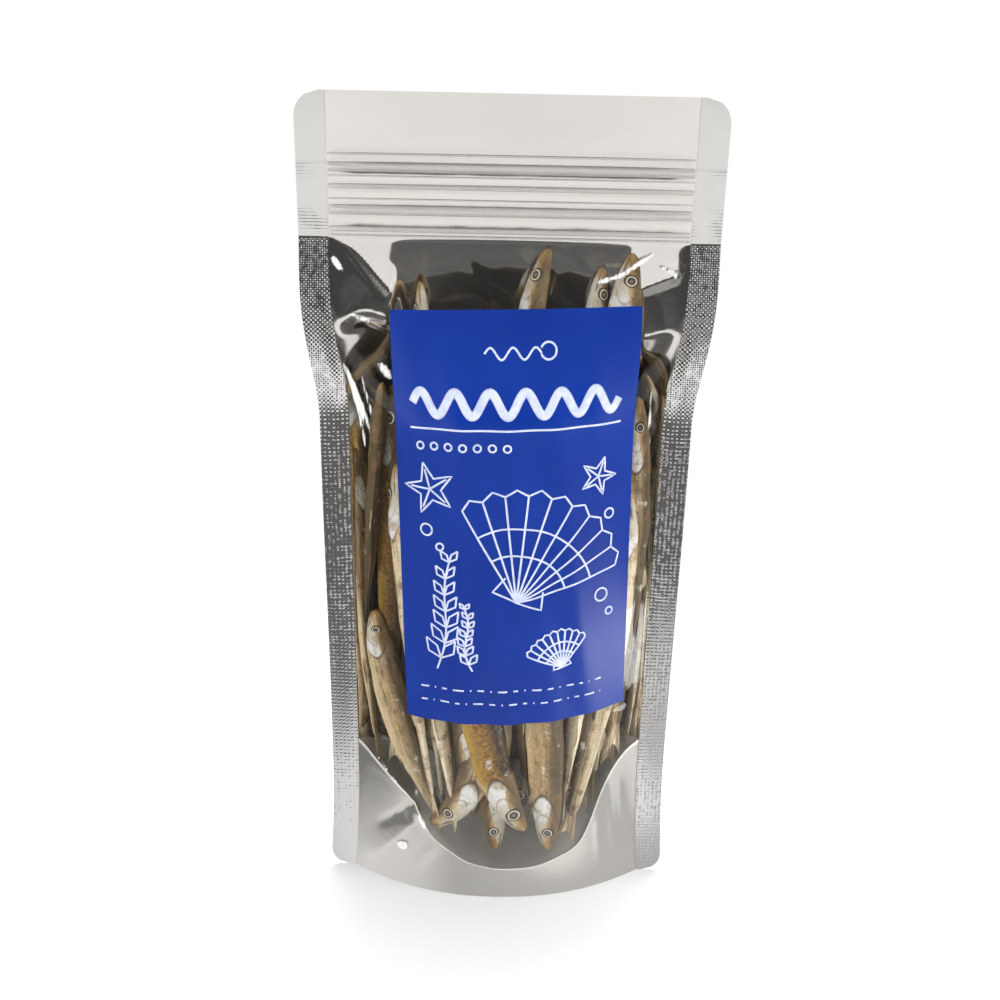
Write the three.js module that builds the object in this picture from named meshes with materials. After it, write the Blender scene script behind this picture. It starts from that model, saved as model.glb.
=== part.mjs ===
// A filled stand-up pouch of dried smelt: clear film in front, silver foil behind, welded
// side seals, a press-to-close zip under a plain header, and a fold-out base it stands on.
// The sealed, filled pouch is one closed solid out to its film, with a paper label on its front.
// Millimetres, +Z up. The origin is on the ground under the middle of the pouch, and the label
// faces -Y.
import * as THREE from "three";
import { mergeVertices } from "three/addons/utils/BufferGeometryUtils.js";

// Driving dimensions of the flat pouch, before it is filled.
const POUCH_WIDTH = 120;
const POUCH_HEIGHT = 250;
const SEAL_WIDTH = 8.5; // welded strip down each side
const SEAL_THICKNESS = 0.8;
const CORNER_RADIUS = 7;

// How far the filling pushes each film out from the middle plane.
const FOOT_DEPTH = 15.4;
const BELLY_DEPTH = 19.6;
const HEADER_DEPTH = 0.7;
const BELLY_START = 42; // the foot has widened to the belly by this height
const SHOULDER = 159; // the belly starts to close here
const ZIP_BOTTOM = 211;
const ZIP_TOP = 233.8;
const SECTION_POWER = 2.2; // a higher power is a flatter front with rounder sides

// The stiff zip and header stand a little behind the belly: the side seals lean back over the
// shoulder, more steeply towards the zip.
const SET_BACK = 6;
const SET_BACK_START = 157;
const SET_BACK_END = 210.5;
const SET_BACK_POWER = 1.8;

// Upright swells where the film lies over the fish.
const SWELL_HEIGHT = 0.7;
const SWELL_PITCH = 13.5;
const SWELL_DRIFT = 0.012; // how far the swells lean over, in turns for each millimetre of height

// Raised lines of the zip: height above the ground, half width, and how far they stand out.
const ZIP_FLANGE_STEP = 0.3;
const ZIP_BEADS = [
  { height: 230.1, half: 1.5, rise: 0.8 },
  { height: 224.6, half: 0.9, rise: 0.45 },
  { height: 217.7, half: 1.1, rise: 0.6 },
  { height: 213.2, half: 0.9, rise: 0.45 },
];

// The folded base under the pouch: the films stand on their lower edges, and the fold hangs
// between them, highest where it is welded to each film.
const SKIRT_THICKNESS = 1.6;
const FOLD_PROFILE = [
  { share: 0.86, rise: 8 },
  { share: 0.45, rise: 5 },
  { share: 0, rise: 4 },
  { share: -0.45, rise: 5 },
  { share: -0.86, rise: 8 },
];

// The label, which covers most of the front.
const LABEL_WIDTH = 72;
const LABEL_BOTTOM = 69;
const LABEL_TOP = 193;
const LABEL_OFFSET = 4.2; // it sits a little right of the middle
const LABEL_TURN = (1.8 * Math.PI) / 180; // and was stuck on slightly askew, left side low
const LABEL_THICKNESS = 0.35;
const LABEL_CLEARANCE = 0.35;
const LABEL_STIFFNESS = 0.35; // share of a swell that still shows through the paper

// Mesh steps.
const WINDOW_COLUMNS = 20;
const SEAL_COLUMNS = 2;
const CORNER_STEPS = 4;
const LABEL_COLUMNS = 14;
const LABEL_ROWS = 24;
const ARC_SAMPLES = 48;

const HALF_WINDOW = POUCH_WIDTH / 2 - SEAL_WIDTH; // half the free film, along its curve
const LABEL_MIDDLE = (LABEL_BOTTOM + LABEL_TOP) / 2;

const smoothstep = (low, high, value) => {
  const t = Math.min(1, Math.max(0, (value - low) / (high - low)));
  return t * t * (3 - 2 * t);
};

// Depth of each film at its middle, at a height.
function depthAt(z) {
  const closing = smoothstep(SHOULDER, ZIP_BOTTOM - 1, z);
  const foot = Math.max(0, 1 - z / BELLY_START) ** 2;
  const belly = BELLY_DEPTH - (BELLY_DEPTH - FOOT_DEPTH) * foot;
  return HEADER_DEPTH + (belly - HEADER_DEPTH) * (1 - closing);
}

// How far behind the belly's middle plane the side seals are at a height.
function setBackAt(z) {
  const share = (z - SET_BACK_START) / (SET_BACK_END - SET_BACK_START);
  return SET_BACK * Math.min(1, Math.max(0, share)) ** SET_BACK_POWER;
}

// Running length of the curved film from its middle out to each sample of a section.
function arcTable(depth, halfChord) {
  const table = [0];
  let last = 0;
  for (let i = 1; i <= ARC_SAMPLES; i++) {
    const rise = depth * (i / ARC_SAMPLES) ** SECTION_POWER;
    table.push(table[i - 1] + Math.hypot(halfChord / ARC_SAMPLES, rise - last));
    last = rise;
  }
  return table;
}

// The film keeps its length, so a deeper section is a narrower one. Its half width is found by
// halving an interval.
const sections = new Map();
function sectionAt(z) {
  if (!sections.has(z)) {
    const depth = depthAt(z);
    let low = HALF_WINDOW / 2;
    let high = HALF_WINDOW;
    for (let i = 0; i < 40; i++) {
      const middle = (low + high) / 2;
      if (arcTable(depth, middle)[ARC_SAMPLES] > HALF_WINDOW) high = middle;
      else low = middle;
    }
    sections.set(z, { depth, halfChord: low, arcs: arcTable(depth, low) });
  }
  return sections.get(z);
}

// Where a point of the flat film lies across a section, from -1 at the left seal to 1.
function shareAcross(along, { arcs }) {
  const length = Math.min(Math.abs(along), arcs[ARC_SAMPLES]);
  let i = 1;
  while (i < ARC_SAMPLES && arcs[i] < length) i++;
  const part = (length - arcs[i - 1]) / (arcs[i] - arcs[i - 1]);
  return Math.sign(along) * Math.min(1, (i - 1 + part) / ARC_SAMPLES);
}

// Swells over the fish, which die out at the seals, under the zip and at the foot.
function swellAt(x, z, share) {
  const onLabel =
    smoothstep(LABEL_BOTTOM - 4, LABEL_BOTTOM + 4, z) *
    (1 - smoothstep(LABEL_TOP - 4, LABEL_TOP + 4, z)) *
    (1 - smoothstep(LABEL_WIDTH / 2 - 2, LABEL_WIDTH / 2 + 4, Math.abs(x - LABEL_OFFSET)));
  const filled = smoothstep(16, 34, z) * (1 - smoothstep(SHOULDER, ZIP_BOTTOM - 10, z));
  const turns = x / SWELL_PITCH + z * SWELL_DRIFT;
  const wave = 0.5 + 0.5 * Math.cos(2 * Math.PI * turns);
  const showing = 1 - (1 - LABEL_STIFFNESS) * onLabel;
  return SWELL_HEIGHT * wave * filled * showing * (1 - share * share);
}

// Beads and flange of the zip, pressed flat where they run into the side seals.
function zipAt(z, share) {
  const edge = 0.5;
  let rise =
    ZIP_FLANGE_STEP *
    smoothstep(ZIP_BOTTOM - edge, ZIP_BOTTOM + edge, z) *
    (1 - smoothstep(ZIP_TOP - edge, ZIP_TOP + edge, z));
  for (const bead of ZIP_BEADS) {
    const off = Math.abs(z - bead.height) / bead.half;
    if (off < 1) rise += bead.rise * Math.cos((Math.PI / 2) * off);
  }
  return rise * (1 - Math.abs(share) ** 8);
}

// A point of one film. along is the distance from the film's middle line, measured on the flat
// film; side is -1 for the front film and 1 for the back one.
function filmPoint(along, z, side, clearance = 0) {
  const section = sectionAt(z);
  const inSeal = Math.abs(along) - HALF_WINDOW;
  const share = shareAcross(along, section);
  const x =
    inSeal > 0 ? Math.sign(along) * (section.halfChord + inSeal) : share * section.halfChord;
  let out = SEAL_THICKNESS / 2 + clearance;
  if (inSeal <= 0) {
    out += section.depth * (1 - Math.abs(share) ** SECTION_POWER);
    out += swellAt(x, z, share) + zipAt(z, share);
  }
  return [x, setBackAt(z) + side * out, z];
}

// Heights of the rows of the pouch's mesh: fine at the corners and the zip, coarse on the belly.
function rowHeights() {
  const rows = new Set();
  for (let i = 0; i <= CORNER_STEPS; i++) {
    const rise = CORNER_RADIUS * (1 - Math.cos((i / CORNER_STEPS) * (Math.PI / 2)));
    rows.add(rise);
    rows.add(POUCH_HEIGHT - rise);
  }
  for (let z = 14; z < SHOULDER; z += 9.5) rows.add(z);
  for (let z = SHOULDER; z < ZIP_BOTTOM - 2; z += 5.6) rows.add(z);
  for (const edge of [ZIP_BOTTOM, ZIP_TOP]) for (const off of [-0.5, 0.5]) rows.add(edge + off);
  for (const { height, half } of ZIP_BEADS)
    for (const off of [-half, -half / 2, 0, half / 2, half]) rows.add(height + off);
  rows.add(221.2);
  return [...rows].sort((a, b) => a - b);
}

// The pouch's outer edge, which the rounded corners pull in at the top and bottom rows.
function outerEdge(z) {
  const inCorner = CORNER_RADIUS - Math.min(z, POUCH_HEIGHT - z);
  const cut = inCorner > 0 ? CORNER_RADIUS - Math.sqrt(CORNER_RADIUS ** 2 - inCorner ** 2) : 0;
  return POUCH_WIDTH / 2 - cut;
}

// Distances from the middle line at which a row has its points, left to right.
function columnsOf(z) {
  const columns = [];
  const outer = outerEdge(z);
  const sealStep = (outer - HALF_WINDOW) / SEAL_COLUMNS;
  for (let i = 0; i < SEAL_COLUMNS; i++) columns.push(-outer + i * sealStep);
  for (let i = 0; i <= WINDOW_COLUMNS; i++)
    columns.push(HALF_WINDOW * ((2 * i) / WINDOW_COLUMNS - 1));
  for (let i = 1; i <= SEAL_COLUMNS; i++) columns.push(HALF_WINDOW + i * sealStep);
  return columns;
}

// A geometry from a list of triangles, each three points, with shared points merged.
function solidOf(triangles) {
  const geometry = new THREE.BufferGeometry();
  geometry.setAttribute("position", new THREE.Float32BufferAttribute(triangles.flat(2), 3));
  const merged = mergeVertices(geometry, 1e-4);
  merged.computeVertexNormals();
  return merged;
}

const quad = (a, b, c, d) => [
  [a, b, c],
  [a, c, d],
];

// Underside of the pouch: a skirt all round, inside which the folded base rises a little.
function baseTriangles(front, back) {
  const last = front.length - 1;
  const across = (i) => {
    const [x, y] = front[i];
    const half = Math.max(0.35 * -y, -y - SKIRT_THICKNESS);
    const lift = 1 - (x / front[last][0]) ** 6;
    const inner = FOLD_PROFILE.map(({ share, rise }) => [x, -share * half, lift * rise]);
    return [front[i], [x, -half, 0], ...inner, [x, half, 0], back[i]];
  };
  const triangles = [];
  for (let i = 1; i < last - 1; i++) {
    const here = across(i);
    const next = across(i + 1);
    for (let k = 0; k + 1 < here.length; k++)
      triangles.push(...quad(here[k], here[k + 1], next[k + 1], next[k]));
  }
  // The last strips run into the side seals, where front and back are one point deep.
  const left = across(1);
  const right = across(last - 1);
  for (let k = 0; k + 1 < left.length; k++) {
    triangles.push([front[0], left[k + 1], left[k]]);
    triangles.push([front[last], right[k], right[k + 1]]);
  }
  triangles.push([front[0], back[0], back[1]]);
  triangles.push([front[last], back[last - 1], back[last]]);
  return triangles;
}

function pouchGeometry() {
  const rings = rowHeights().map((z) => {
    const columns = columnsOf(z);
    const front = columns.map((along) => filmPoint(along, z, -1));
    const back = columns.map((along) => filmPoint(along, z, 1));
    return { front, back, loop: [...front, ...back.slice().reverse()] };
  });
  const triangles = [];
  for (let j = 0; j + 1 < rings.length; j++) {
    const low = rings[j].loop;
    const high = rings[j + 1].loop;
    for (let k = 0; k < low.length; k++) {
      const next = (k + 1) % low.length;
      triangles.push(...quad(low[k], low[next], high[next], high[k]));
    }
  }
  const top = rings[rings.length - 1];
  for (let i = 0; i + 1 < top.front.length; i++)
    triangles.push(...quad(top.front[i], top.front[i + 1], top.back[i + 1], top.back[i]));
  triangles.push(...baseTriangles(rings[0].front, rings[0].back));
  return solidOf(triangles);
}

// The label is a thin sheet that follows the front film from edge to edge.
function labelGeometry() {
  const sheetOf = (clearance) => {
    const rows = [];
    for (let j = 0; j <= LABEL_ROWS; j++) {
      const up = (LABEL_TOP - LABEL_BOTTOM) * (j / LABEL_ROWS - 0.5);
      const row = [];
      for (let i = 0; i <= LABEL_COLUMNS; i++) {
        const across = LABEL_WIDTH * (i / LABEL_COLUMNS - 0.5);
        const along = LABEL_OFFSET + across * Math.cos(LABEL_TURN) - up * Math.sin(LABEL_TURN);
        const z = LABEL_MIDDLE + across * Math.sin(LABEL_TURN) + up * Math.cos(LABEL_TURN);
        row.push(filmPoint(along, z, -1, clearance));
      }
      rows.push(row);
    }
    return rows;
  };
  const outer = sheetOf(LABEL_CLEARANCE + LABEL_THICKNESS);
  const inner = sheetOf(LABEL_CLEARANCE);
  const triangles = [];
  for (let j = 0; j < LABEL_ROWS; j++)
    for (let i = 0; i < LABEL_COLUMNS; i++) {
      const cell = (sheet) => [
        sheet[j][i],
        sheet[j][i + 1],
        sheet[j + 1][i + 1],
        sheet[j + 1][i],
      ];
      triangles.push(...quad(...cell(outer)));
      triangles.push(...quad(...cell(inner).reverse()));
    }
  const rim = (sheet) => [
    ...sheet[0].slice(0, -1),
    ...sheet.slice(0, -1).map((row) => row[LABEL_COLUMNS]),
    ...sheet[LABEL_ROWS].slice(1).reverse(),
    ...sheet
      .slice(1)
      .map((row) => row[0])
      .reverse(),
  ];
  const outerRim = rim(outer);
  const innerRim = rim(inner);
  for (let k = 0; k < outerRim.length; k++) {
    const next = (k + 1) % outerRim.length;
    triangles.push(...quad(innerRim[k], innerRim[next], outerRim[next], outerRim[k]));
  }
  return solidOf(triangles);
}

function meshOf(name, geometry, material) {
  const mesh = new THREE.Mesh(geometry, material);
  mesh.name = name;
  return mesh;
}

const foil = new THREE.MeshStandardMaterial({ color: 0xc9c8c3, roughness: 0.28, metalness: 0.85 });
const paper = new THREE.MeshStandardMaterial({ color: 0x0e3aa4, roughness: 0.38, metalness: 0 });

const pack = new THREE.Group();
pack.add(meshOf("pouch", pouchGeometry(), foil));
pack.add(meshOf("label", labelGeometry(), paper));

export default pack;
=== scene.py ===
# A stand-up pouch of dried smelt: foil back, clear front film, welded sides, a zip under the
# header, a folded base, the dried fish inside and a printed label. Metres, +Z up, front to -Y.
import math

import bpy
import numpy as np
from mathutils import Matrix, Vector


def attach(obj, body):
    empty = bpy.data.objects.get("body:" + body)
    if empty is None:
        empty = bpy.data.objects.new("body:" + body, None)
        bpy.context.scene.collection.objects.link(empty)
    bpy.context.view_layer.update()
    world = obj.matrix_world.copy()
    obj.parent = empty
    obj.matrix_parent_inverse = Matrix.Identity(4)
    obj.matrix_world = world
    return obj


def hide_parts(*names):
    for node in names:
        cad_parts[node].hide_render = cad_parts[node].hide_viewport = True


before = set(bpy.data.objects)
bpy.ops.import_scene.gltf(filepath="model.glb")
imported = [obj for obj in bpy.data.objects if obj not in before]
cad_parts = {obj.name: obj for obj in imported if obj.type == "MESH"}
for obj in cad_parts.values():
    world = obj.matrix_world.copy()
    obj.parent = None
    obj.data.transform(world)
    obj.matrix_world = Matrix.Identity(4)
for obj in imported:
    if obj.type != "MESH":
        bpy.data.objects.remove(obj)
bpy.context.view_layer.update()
scene = bpy.context.scene
MM = 0.001

# Studio: a camera at the photograph's height and tilt, a pale floor that runs into white, and
# soft panels at both sides. Mirror-like foil sees a bright band at eye level and darkness above.
CAMERA_PLACE = (-1.2 * MM, -313.4 * MM, 249.4 * MM)
CAMERA_DOWN = math.radians(20.15)
CAMERA_ROLL = math.radians(1.2)
LENS = 39.667
SENSOR_WIDTH = 36
NEAREST_SEEN = 10 * MM
# What the foil mirrors, from straight down (0) to straight up (1), as greys.
SURROUNDINGS = (
    (0, 0.1), (0.39, 0.1), (0.415, 0.93), (0.51, 0.93), (0.522, 0.055), (0.66, 0.06), (0.75, 0.36),
)
# The floor that the foil mirrors: greys by the distance from the middle of a pool of light, as
# a share of the floor's radius.
FLOOR_RADIUS = 1.2
POOL_MIDDLE = (0.037, -0.05, 0)
POOL_GREYS = (
    (0.02, 0.84), (0.03, 0.5), (0.05, 0.42), (0.062, 0.66), (0.08, 0.76), (0.1, 0.44), (0.125, 0.12),
)
# The floor that the camera sees: paper near the pouch, which fades into white.
PAPER_FADE = ((0.07, 0.35), (0.26, 1))
PAPER_WHITE = (0.82, 0.82, 0.82, 1)
WHITE = (1, 1, 1, 1)
PANEL_AIM = Vector((0, 0, 120 * MM))

camera_data = bpy.data.cameras.new("camera")
camera_data.lens = LENS
camera_data.sensor_width = SENSOR_WIDTH
camera_data.clip_start = NEAREST_SEEN
camera = bpy.data.objects.new("camera", camera_data)
tilt = Matrix.Rotation(math.pi / 2 - CAMERA_DOWN, 4, "X")
camera.matrix_world = Matrix.Translation(CAMERA_PLACE) @ tilt @ Matrix.Rotation(CAMERA_ROLL, 4, "Z")
scene.collection.objects.link(camera)
scene.camera = camera
scene.view_settings.view_transform = "Standard"


def new_material(name):
    """A new material with its nodes and links, which the functions below then add to."""
    material = bpy.data.materials.new(name)
    material.use_nodes = True
    material.node_tree.nodes.clear()
    return material, material.node_tree.nodes, material.node_tree.links


def add_node(kind, **values):
    """Adds a node. Each value goes to the input or the setting of that name, or is linked to it."""
    node = nodes.new(kind)
    for name, value in values.items():
        socket = node.inputs.get(name.replace("_", " "))
        if socket is None:
            setattr(node, name, value)
        elif isinstance(value, bpy.types.NodeSocket):
            links.new(value, socket)
        else:
            socket.default_value = value
    return node


def maths(operation, *values, clamp=False):
    """A maths node. Each value is a number or a node's output."""
    node = add_node("ShaderNodeMath", operation=operation, use_clamp=clamp)
    for socket, value in zip(node.inputs, values):
        if isinstance(value, (int, float)):
            socket.default_value = value
        else:
            links.new(value, socket)
    return node.outputs[0]


def spread(value, low, high, start=0.0, end=1.0):
    """Turns the range from low to high into the range from start to end."""
    ends = {"From_Min": low, "From_Max": high, "To_Min": start, "To_Max": end}
    return add_node("ShaderNodeMapRange", Value=value, **ends).outputs[0]


def ramp(share, stops):
    """A grey or a colour for each share, by stops along it."""
    node = add_node("ShaderNodeValToRGB", Fac=share)
    elements = node.color_ramp.elements
    while len(elements) < len(stops):
        elements.new(0.5)
    for element, (position, tone) in zip(elements, stops):
        element.position = position
        element.color = (*np.broadcast_to(tone, 3), 1)
    return node.outputs[0]


def mix_shaders(share, first, second):
    node = add_node("ShaderNodeMixShader", Fac=share)
    links.new(first, node.inputs[1])
    links.new(second, node.inputs[2])
    return node.outputs[0]


world = bpy.data.worlds.new("studio")
world.use_nodes = True
scene.world = world
nodes, links = world.node_tree.nodes, world.node_tree.links
nodes.clear()
direction = add_node("ShaderNodeTexCoord").outputs["Generated"]
upwards = add_node("ShaderNodeSeparateXYZ", Vector=direction).outputs["Z"]
mirrored_grey = ramp(spread(upwards, -1, 1), SURROUNDINGS)
mirrored = add_node("ShaderNodeBackground", Strength=1, Color=mirrored_grey).outputs[0]
backdrop = add_node("ShaderNodeBackground", Strength=1, Color=WHITE).outputs[0]
seen_by_camera = add_node("ShaderNodeLightPath").outputs["Is Camera Ray"]
add_node("ShaderNodeOutputWorld", Surface=mix_shaders(seen_by_camera, mirrored, backdrop))

bpy.ops.object.select_all(action="DESELECT")
bpy.ops.mesh.primitive_circle_add(vertices=128, radius=FLOOR_RADIUS, fill_type="NGON")
floor = bpy.context.object
floor.name = "floor"
floor_look, nodes, links = new_material("studio_floor")
place = add_node("ShaderNodeTexCoord").outputs["Object"]


def floor_share(middle):
    """Distance from that place on the floor, as a share of the floor's radius."""
    node = add_node("ShaderNodeVectorMath", operation="DISTANCE")
    links.new(place, node.inputs[0])
    node.inputs[1].default_value = middle
    return maths("DIVIDE", node.outputs["Value"], FLOOR_RADIUS)


paper = add_node("ShaderNodeBsdfDiffuse", Color=PAPER_WHITE).outputs[0]
white = add_node("ShaderNodeEmission", Color=WHITE, Strength=1).outputs[0]
seen = mix_shaders(ramp(floor_share((0, 0, 0)), PAPER_FADE), paper, white)
pool_grey = ramp(floor_share(POOL_MIDDLE), POOL_GREYS)
pool = add_node("ShaderNodeEmission", Color=pool_grey, Strength=1).outputs[0]
rays = add_node("ShaderNodeLightPath")
unseen = mix_shaders(rays.outputs["Is Glossy Ray"], paper, pool)
floor_mix = mix_shaders(rays.outputs["Is Camera Ray"], unseen, seen)
add_node("ShaderNodeOutputMaterial", Surface=floor_mix)
floor.data.materials.append(floor_look)


def soft_panel(name, place, size, watts, in_gloss=False):
    """A light that faces the middle of the pouch. Shiny pieces show it only if in_gloss is set."""
    data = bpy.data.lights.new(name, "AREA")
    data.shape = "RECTANGLE"
    data.size, data.size_y = size
    data.energy = watts
    panel = bpy.data.objects.new(name, data)
    panel.location = place
    panel.rotation_euler = (PANEL_AIM - panel.location).to_track_quat("-Z", "Y").to_euler()
    panel.visible_camera = False
    panel.visible_glossy = in_gloss
    scene.collection.objects.link(panel)


soft_panel("panel_left", (-0.75, -0.45, 0.42), (0.5, 0.7), 7)
soft_panel("panel_right", (0.8, -0.35, 0.4), (0.5, 0.7), 7.5)
soft_panel("panel_top", (0.05, 0.3, 0.95), (0.8, 0.6), 12)
soft_panel("panel_low", (0.17, -0.06, 0.014), (0.12, 0.035), 0.08, in_gloss=True)

# The foil back: one panel of silver laminate, from welded side to welded side. It is cut flat,
# and the filling pushes it out, so it gets narrower where it bulges and creases at the shoulder.
POUCH_WIDTH = 120 * MM
POUCH_HEIGHT = 250 * MM
SEAL_WIDTH = 8.5 * MM
SEAL_THICKNESS = 0.8 * MM
HALF_WINDOW = POUCH_WIDTH / 2 - SEAL_WIDTH
SECTION_POWER = 2.2
FILM_THICKNESS = 0.1 * MM
FLAT_DEPTH = 0.7 * MM
BELLY_DEPTH_MM = 19.6
FOOT_LESS_DEEP_MM = 4.2
FOOT_TOP = 42 * MM
SHOULDER = (159 * MM, 210 * MM)
LEAN = 6 * MM
LEAN_FROM = 157 * MM
LEAN_RUN = 53.5 * MM
HEADER_FOOT = 234 * MM
HEADER_HEIGHT = 16 * MM
HEADER_PINCH = 0.55
SWELL_HEIGHT = 0.7 * MM
SWELL_PITCH = 13.5 * MM
SWELL_FOOT = (16 * MM, 34 * MM)
SWELL_TOP = (155 * MM, 198 * MM)
ZIP_FOOT = 210.3 * MM
# The zip's strip and its beads, in mm: each bead's height on the pouch, half width and rise.
STRIP_FOOT_MM = (210.7, 211.4)
STRIP_TOP_MM = (233.4, 234)
STRIP_RISE_MM = 0.3
ZIP_BEADS = ((230, 1.35, 0.8), (224.8, 0.7, 0.4), (218.4, 1.5, 0.5), (213.1, 1.1, 0.4))
# The filled film is worked out once for each of these depths, by halving, at these shares.
DEPTH_STEPS = np.linspace(0.4, 20.5, 68) * MM
ARC_SHARES = np.linspace(0, 1, 65)
FLAT_SHARES = np.linspace(0, 1, 81)
HALVINGS = 30


def smooth(low, high, value):
    share = np.clip((value - low) / (high - low), 0, 1)
    return share * share * (3 - 2 * share)


def arcs_of(depth, half_chord):
    """Length along a section of that depth and half width, from its middle to each share."""
    rise = depth * ARC_SHARES**SECTION_POWER
    steps = np.hypot(np.diff(ARC_SHARES) * half_chord, np.diff(rise))
    return np.concatenate([[0], np.cumsum(steps)])


# Half width of the free film at each depth, and where the points of the flat film then lie.
half_chords = []
share_rows = []
for depth in DEPTH_STEPS:
    low, high = HALF_WINDOW / 2, HALF_WINDOW
    for _ in range(HALVINGS):
        middle = (low + high) / 2
        if arcs_of(depth, middle)[-1] > HALF_WINDOW:
            high = middle
        else:
            low = middle
    half_chords.append(low)
    arcs = arcs_of(depth, low)
    share_rows.append(np.interp(FLAT_SHARES * arcs[-1], arcs, ARC_SHARES))
share_rows = np.array(share_rows)


def depth_at(z):
    """How far the film stands out at the middle of its width."""
    foot = np.maximum(0, 1 - z / FOOT_TOP) ** 2
    belly = (BELLY_DEPTH_MM - FOOT_LESS_DEEP_MM * foot) * MM
    return FLAT_DEPTH + (belly - FLAT_DEPTH) * (1 - smooth(*SHOULDER, z))


def set_back(z):
    """How far the pouch leans back above the filling."""
    return LEAN * np.clip((z - LEAN_FROM) / LEAN_RUN, 0, 1) ** 1.8


def half_chord_at(z):
    return np.interp(depth_at(z), DEPTH_STEPS, half_chords)


def share_across(along, z):
    """Where a point of the flat film ends up across its section, from -1 to 1."""
    row = np.interp(depth_at(z), DEPTH_STEPS, np.arange(len(DEPTH_STEPS)))
    low_row = np.minimum(row.astype(int), len(DEPTH_STEPS) - 2)
    column = np.clip(np.abs(along) / HALF_WINDOW, 0, 1) * (len(FLAT_SHARES) - 1)
    low_column = np.minimum(column.astype(int), len(FLAT_SHARES) - 2)
    up = row - low_row
    over = column - low_column
    inner = share_rows[low_row, low_column] * (1 - up) + share_rows[low_row + 1, low_column] * up
    outer = share_rows[low_row, low_column + 1] * (1 - up)
    outer = outer + share_rows[low_row + 1, low_column + 1] * up
    return np.sign(along) * (inner * (1 - over) + outer * over)


def zip_relief(z, share):
    """Beads of the zip and the edges of its strip, which fade out into the side seals."""
    high = z / MM
    rise = STRIP_RISE_MM * smooth(*STRIP_FOOT_MM, high) * (1 - smooth(*STRIP_TOP_MM, high))
    for middle, half, height in ZIP_BEADS:
        off = np.abs(high - middle) / half
        rise = rise + height * np.where(off < 1, np.cos(np.pi / 2 * np.minimum(off, 1)), 0)
    return rise * MM * (1 - np.abs(share) ** 14)


def swell(x, z, share):
    """Upright swells where the film lies over the fish."""
    filled = smooth(*SWELL_FOOT, z) * (1 - smooth(*SWELL_TOP, z))
    wave = 0.5 + 0.5 * np.cos(2 * np.pi * (x / SWELL_PITCH + z / MM * 0.012))
    return SWELL_HEIGHT * wave * filled * (1 - share * share)


def film_place(along, z, side, out=0.0, zip_share=1.0):
    """The filled film's place for points of the flat film. side is -1 in front and 1 behind."""
    share = share_across(along, z)
    chord = half_chord_at(z)
    in_seal = np.abs(along) - HALF_WINDOW
    x = np.where(in_seal > 0, np.sign(along) * (chord + in_seal), share * chord)
    rise = depth_at(z) * (1 - np.abs(share) ** SECTION_POWER)
    rise = rise + swell(x, z, share) + zip_share * zip_relief(z, share)
    rise = np.where(in_seal > 0, 0, rise)
    closed = 1 - HEADER_PINCH * np.clip((z - HEADER_FOOT) / HEADER_HEIGHT, 0, 1) * (in_seal < 0)
    y = set_back(z) + side * ((SEAL_THICKNESS / 2 + rise) * closed + out)
    return x, y


def points_of(piece):
    flat = np.empty(len(piece.data.vertices) * 3)
    piece.data.vertices.foreach_get("co", flat)
    return flat.reshape(-1, 3)


def move_points(piece, x, y, z):
    piece.data.vertices.foreach_set("co", np.column_stack([x, y, z]).ravel())
    piece.data.update()


def flat_panel(name, width, height, columns, rows):
    """A flat sheet as cut, with the place of its points across from its middle and up from 0."""
    bpy.ops.object.select_all(action="DESELECT")
    bpy.ops.mesh.primitive_grid_add(x_subdivisions=columns, y_subdivisions=rows, size=1)
    piece = bpy.context.object
    piece.name = name
    across, up, _ = points_of(piece).T
    move_points(piece, across * width, (up + 0.5) * height, 0 * up)
    across, up, _ = points_of(piece).T
    return piece, across, up


def choose(piece):
    """Makes a piece the only one that operators act on."""
    bpy.ops.object.select_all(action="DESELECT")
    bpy.context.view_layer.objects.active = piece
    piece.select_set(True)


def edit_all(piece, operator, **settings):
    """Runs an operator of edit mode on the whole of a piece."""
    choose(piece)
    bpy.ops.object.mode_set(mode="EDIT")
    bpy.ops.mesh.select_all(action="SELECT")
    operator(**settings)
    bpy.ops.object.mode_set(mode="OBJECT")


def face_outwards(piece):
    edit_all(piece, bpy.ops.mesh.normals_make_consistent, inside=False)


def give_thickness(piece, thickness):
    """Makes a sheet a closed skin, with smooth faces and sharp cut edges."""
    choose(piece)
    modifier = piece.modifiers.new("thickness", "SOLIDIFY")
    modifier.thickness = thickness
    modifier.offset = 0
    bpy.ops.object.modifier_apply(modifier=modifier.name)
    bpy.ops.object.shade_smooth_by_angle(angle=math.radians(35))


def creases(along, z, lines):
    """Sum of straight folds. Each line is its two ends, its half width and its height, in mm."""
    across, up = along / MM, z / MM
    total = np.zeros_like(across)
    for x0, z0, x1, z1, half, height in lines:
        run = np.hypot(x1 - x0, z1 - z0)
        ux, uz = (x1 - x0) / run, (z1 - z0) / run
        part = np.clip(((across - x0) * ux + (up - z0) * uz) / run, 0, 1)
        near = np.hypot(across - x0 - part * run * ux, up - z0 - part * run * uz)
        fade = np.sqrt(np.clip(4 * part * (1 - part), 0.08, 1))
        total = total + height * fade * np.maximum(0, 1 - near / half) ** 1.5
    return total * MM


BACK_CREASES = (
    (-46, 168, -30, 150, 2.5, 0.8),
    (47, 164, 32, 148, 2.5, 0.8),
    (-12, 205, 6, 178, 3.5, 0.6),
    (16, 204, 10, 182, 2.5, -0.5),
    (-48, 60, -30, 34, 2.2, -0.7),
    (48, 58, 31, 33, 2.2, -0.7),
    (-47, 140, -47, 80, 1.8, 0.5),
    (47, 130, 48, 70, 1.8, 0.5),
    (-50, 45, -34, 22, 1.6, 0.5),
    (50, 44, 33, 20, 1.6, 0.5),
)


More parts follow.
